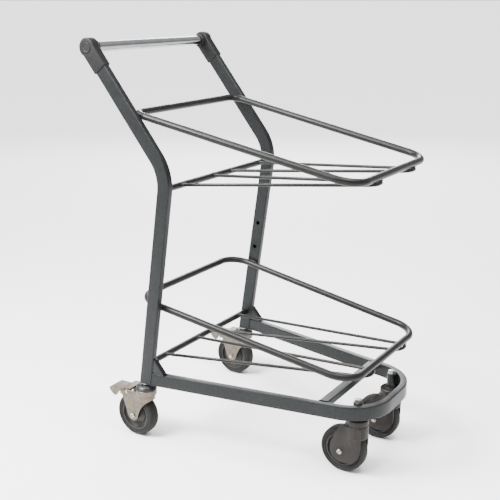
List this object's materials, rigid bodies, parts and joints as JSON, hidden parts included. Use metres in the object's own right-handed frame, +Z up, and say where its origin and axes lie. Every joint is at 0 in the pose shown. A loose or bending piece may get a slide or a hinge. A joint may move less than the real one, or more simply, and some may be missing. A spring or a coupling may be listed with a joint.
{
  "type": "two-tier shopping trolley",
  "caption": "Narrow wheeled trolley with two sloping open rings that hold hand baskets, a U-shaped tube base, a cross handle and swivel castors.",
  "frame": {"origin": "on the floor, under the middle of the trolley", "axes": "+Z up, +X to the front (away from the handle), +Y to the left of a person pushing it"},
  "size_m": [0.6557, 0.4454, 0.8765],
  "materials": {
    "frame_powder_coat": "fine-textured metallic grey powder coat on welded steel tube",
    "rail_powder_coat": "the same powder coat on round tube and wire",
    "handle_chrome": "polished chrome plate on steel tube",
    "joint_plastic": "dark grey moulded nylon, fine spark texture",
    "castor_nylon": "dark brown-grey moulded nylon",
    "castor_zinc": "zinc-plated pressed steel, satin",
    "fastener_zinc": "bright zinc-plated fasteners",
    "tyre_rubber": "dark grey non-marking rubber",
    "wheel_core": "dark grey moulded polypropylene"
  },
  "bodies": {
    "frame": {"base_tube": "frame_powder_coat", "base_cross_tube": "frame_powder_coat", "upper_rail": "rail_powder_coat", "upper_crossbar": "rail_powder_coat", "lower_rail": "rail_powder_coat", "lower_crossbar": "rail_powder_coat", "handle_bar": "handle_chrome", "upright_left": "frame_powder_coat", "gusset_left": "frame_powder_coat", "castor_sleeve_left": "frame_powder_coat", "upper_floor_rod_left": "rail_powder_coat", "lower_floor_rod_left": "rail_powder_coat", "handle_joint_left": "joint_plastic", "handle_cap_left": "joint_plastic", "front_castor_bolt_left": "fastener_zinc", "front_castor_nut_left": "fastener_zinc", "stem_block_left": "fastener_zinc", "rear_kingpin_left": "fastener_zinc", "rear_swivel_cap_left": "castor_zinc", "upright_right": "frame_powder_coat", "gusset_right": "frame_powder_coat", "castor_sleeve_right": "frame_powder_coat", "upper_floor_rod_right": "rail_powder_coat", "lower_floor_rod_right": "rail_powder_coat", "handle_joint_right": "joint_plastic", "handle_cap_right": "joint_plastic", "front_castor_bolt_right": "fastener_zinc", "front_castor_nut_right": "fastener_zinc", "stem_block_right": "fastener_zinc", "rear_kingpin_right": "fastener_zinc", "rear_swivel_cap_right": "castor_zinc"},
    "front_swivel_left": {"front_fork_left": "castor_nylon", "front_bush_left": "fastener_zinc", "front_axle_bolt_left": "fastener_zinc", "front_axle_nut_left": "fastener_zinc"},
    "front_roller_left": {"front_tyre_left": "tyre_rubber", "front_wheel_left": "wheel_core"},
    "front_swivel_right": {"front_fork_right": "castor_nylon", "front_bush_right": "fastener_zinc", "front_axle_bolt_right": "fastener_zinc", "front_axle_nut_right": "fastener_zinc"},
    "front_roller_right": {"front_tyre_right": "tyre_rubber", "front_wheel_right": "wheel_core"},
    "rear_swivel_left": {"rear_fork_left": "castor_zinc", "rear_bush_left": "fastener_zinc", "rear_axle_bolt_left": "fastener_zinc", "rear_axle_nut_left": "fastener_zinc", "brake_pin_left": "fastener_zinc"},
    "rear_roller_left": {"rear_tyre_left": "tyre_rubber", "rear_wheel_left": "wheel_core"},
    "pedal_left": {"brake_pedal_left": "castor_zinc"},
    "rear_swivel_right": {"rear_fork_right": "castor_zinc", "rear_bush_right": "fastener_zinc", "rear_axle_bolt_right": "fastener_zinc", "rear_axle_nut_right": "fastener_zinc", "brake_pin_right": "fastener_zinc"},
    "rear_roller_right": {"rear_tyre_right": "tyre_rubber", "rear_wheel_right": "wheel_core"},
    "pedal_right": {"brake_pedal_right": "castor_zinc"}
  },
  "joints": [
    {"name": "front_swivel_left_turn", "type": "hinge", "parent": "frame", "child": "front_swivel_left", "pos_m": [0.276, 0.084, 0.116], "axis": [0, 0, 1], "continuous": true},
    {"name": "front_wheel_left_spin", "type": "hinge", "parent": "front_swivel_left", "child": "front_roller_left", "pos_m": [0.248, 0.084, 0.05], "axis": [0, 1, 0], "continuous": true},
    {"name": "front_swivel_right_turn", "type": "hinge", "parent": "frame", "child": "front_swivel_right", "pos_m": [0.276, -0.084, 0.116], "axis": [0, 0, 1], "continuous": true},
    {"name": "front_wheel_right_spin", "type": "hinge", "parent": "front_swivel_right", "child": "front_roller_right", "pos_m": [0.248, -0.084, 0.05], "axis": [0, 1, 0], "continuous": true},
    {"name": "rear_swivel_left_turn", "type": "hinge", "parent": "frame", "child": "rear_swivel_left", "pos_m": [-0.191, 0.1982, 0.112], "axis": [0, 0, 1], "continuous": true},
    {"name": "rear_wheel_left_spin", "type": "hinge", "parent": "rear_swivel_left", "child": "rear_roller_left", "pos_m": [-0.217, 0.1982, 0.05], "axis": [0, 1, 0], "continuous": true},
    {"name": "brake_pedal_left_press", "type": "hinge", "parent": "rear_swivel_left", "child": "pedal_left", "pos_m": [-0.233, 0.1982, 0.104], "axis": [0, -1, 0], "range_deg": [0, 12]},
    {"name": "rear_swivel_right_turn", "type": "hinge", "parent": "frame", "child": "rear_swivel_right", "pos_m": [-0.191, -0.1982, 0.112], "axis": [0, 0, 1], "continuous": true},
    {"name": "rear_wheel_right_spin", "type": "hinge", "parent": "rear_swivel_right", "child": "rear_roller_right", "pos_m": [-0.217, -0.1982, 0.05], "axis": [0, 1, 0], "continuous": true},
    {"name": "brake_pedal_right_press", "type": "hinge", "parent": "rear_swivel_right", "child": "pedal_right", "pos_m": [-0.233, -0.1982, 0.104], "axis": [0, -1, 0], "range_deg": [0, 12]}
  ]
}
